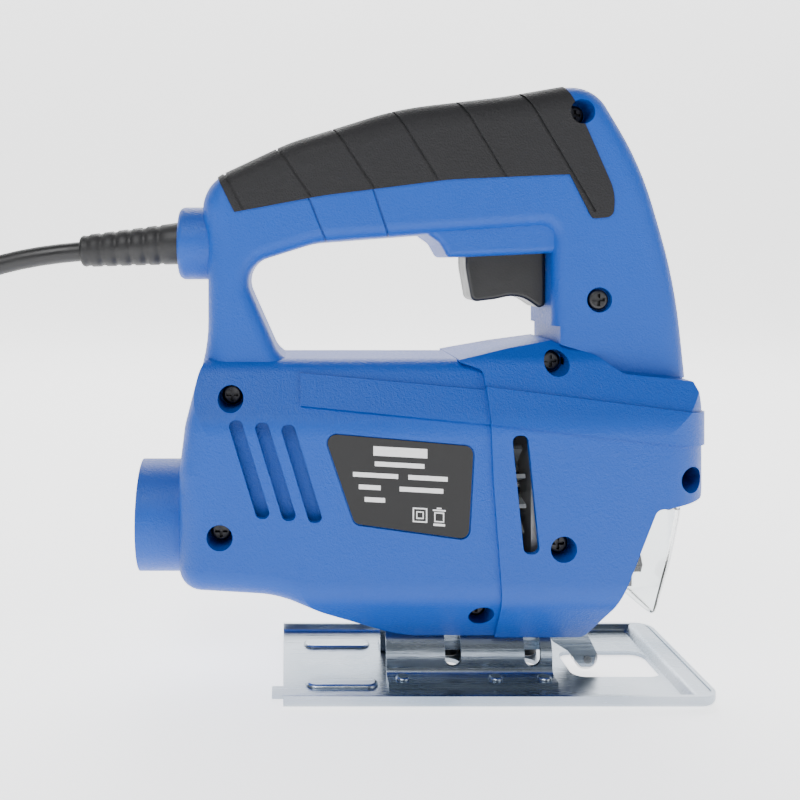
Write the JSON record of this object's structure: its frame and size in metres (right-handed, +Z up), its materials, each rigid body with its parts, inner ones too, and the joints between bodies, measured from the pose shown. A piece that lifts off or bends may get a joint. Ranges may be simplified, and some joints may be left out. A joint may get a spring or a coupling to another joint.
{
  "type": "jigsaw power tool",
  "caption": "Corded D-handle jigsaw with blue clamshell body, rubber grip, proud gear cover, clear chip guard, rear dust port and tilting pressed-steel base.",
  "frame": {"origin": "where the blade's line meets the underside of the base", "axes": "+X forward along the tool, +Y to its left, +Z up along the plunger"},
  "size_m": [0.4397, 0.0948, 0.2172],
  "materials": {
    "blue_plastic": "fine moulded texture",
    "grip_rubber": "matt",
    "cord_sheath": "satin",
    "black_plastic": "satin",
    "plate_gloss": "gloss",
    "zinc_steel": "bright zinc plate",
    "bright_steel": "ground",
    "black_steel": "black oxide",
    "gear_steel": "oiled",
    "core_steel": "laminated",
    "copper": "enamelled",
    "bronze": "plain",
    "carbon": "pressed",
    "spring_steel": "drawn",
    "die_cast": "as cast",
    "fan_plastic": "moulded",
    "capacitor_case": "moulded",
    "lead_insulation": "drawn",
    "clear_guard": "clear"
  },
  "bodies": {
    "housing": {"housing_right": "blue_plastic", "housing_left": "blue_plastic", "gear_cover_right": "blue_plastic", "gear_cover_left": "blue_plastic", "housing_screws": "black_steel", "cover_screws": "black_steel", "grip_pad_right": "grip_rubber", "grip_pad_left": "grip_rubber", "rating_plate": "plate_gloss", "bevel_screws": "black_steel", "bevel_clamp_plate": "zinc_steel", "roller_fork": "zinc_steel", "fork_screw": "zinc_steel", "roller_pin": "bright_steel", "switch_body": "black_plastic", "capacitor": "capacitor_case", "stator_core": "core_steel", "field_coils": "copper", "bearing_rear": "bright_steel", "bearing_front": "bright_steel", "brush_holders": "bronze", "carbon_brushes": "carbon", "brush_springs": "spring_steel", "gear_case": "die_cast", "gear_arbor": "bright_steel", "bushing_upper": "bronze", "bushing_lower": "bronze", "strain_relief": "grip_rubber", "inner_leads": "lead_insulation", "cord_clamp": "black_plastic", "cord": "cord_sheath", "cord_coil": "cord_sheath", "cord_tail": "cord_sheath", "plug_body": "cord_sheath", "plug_pins": "bronze"},
    "base": {"base_plate": "zinc_steel", "base_saddle": "zinc_steel", "saddle_rivets": "zinc_steel"},
    "trigger": {"trigger": "black_plastic"},
    "lock_button": {"lock_on_button": "black_plastic"},
    "armature": {"armature_core": "core_steel", "armature_windings": "copper", "commutator": "copper", "armature_shaft": "bright_steel", "pinion": "bright_steel", "fan": "fan_plastic"},
    "gear": {"main_gear": "gear_steel", "crank_pin": "bright_steel"},
    "plunger": {"plunger_rod": "bright_steel", "yoke": "gear_steel", "blade_clamp": "black_steel", "clamp_screw": "black_steel"},
    "roller": {"guide_roller": "bright_steel"},
    "guard": {"chip_guard": "clear_guard"}
  },
  "joints": [
    {"name": "base_tilt", "type": "hinge", "parent": "housing", "child": "base", "pos_m": [0, 0, 0.008], "axis": [1, 0, 0], "range_deg": [-45, 45]},
    {"name": "trigger_pull", "type": "slide", "parent": "housing", "child": "trigger", "axis": [0, 0, 1], "range_m": [0, 0.0055], "stiffness_N_per_m": 600, "springref_m": -0.003},
    {"name": "lock_on_press", "type": "slide", "parent": "housing", "child": "lock_button", "axis": [0, -1, 0], "range_m": [0, 0.003], "stiffness_N_per_m": 500, "springref_m": -0.001},
    {"name": "gear_spin", "type": "hinge", "parent": "housing", "child": "gear", "pos_m": [0, 0, 0.0956], "axis": [1, 0, 0], "continuous": true},
    {"name": "armature_spin", "type": "hinge", "parent": "housing", "child": "armature", "pos_m": [0, 0, 0.07], "axis": [1, 0, 0], "continuous": true},
    {"name": "plunger_stroke", "type": "slide", "parent": "housing", "child": "plunger", "axis": [0, 0, 1], "range_m": [-0.009, 0.009]},
    {"name": "roller_spin", "type": "hinge", "parent": "housing", "child": "roller", "pos_m": [-0.009, 0, 0.0053], "axis": [0, 1, 0], "continuous": true},
    {"name": "guard_hinge", "type": "hinge", "parent": "housing", "child": "guard", "pos_m": [0.0185, 0, 0.0648], "axis": [0, -1, 0], "range_deg": [0, 60]}
  ],
  "couplings": [
    {"joint": "armature_spin", "follows": "gear_spin", "ratio": -7}
  ]
}
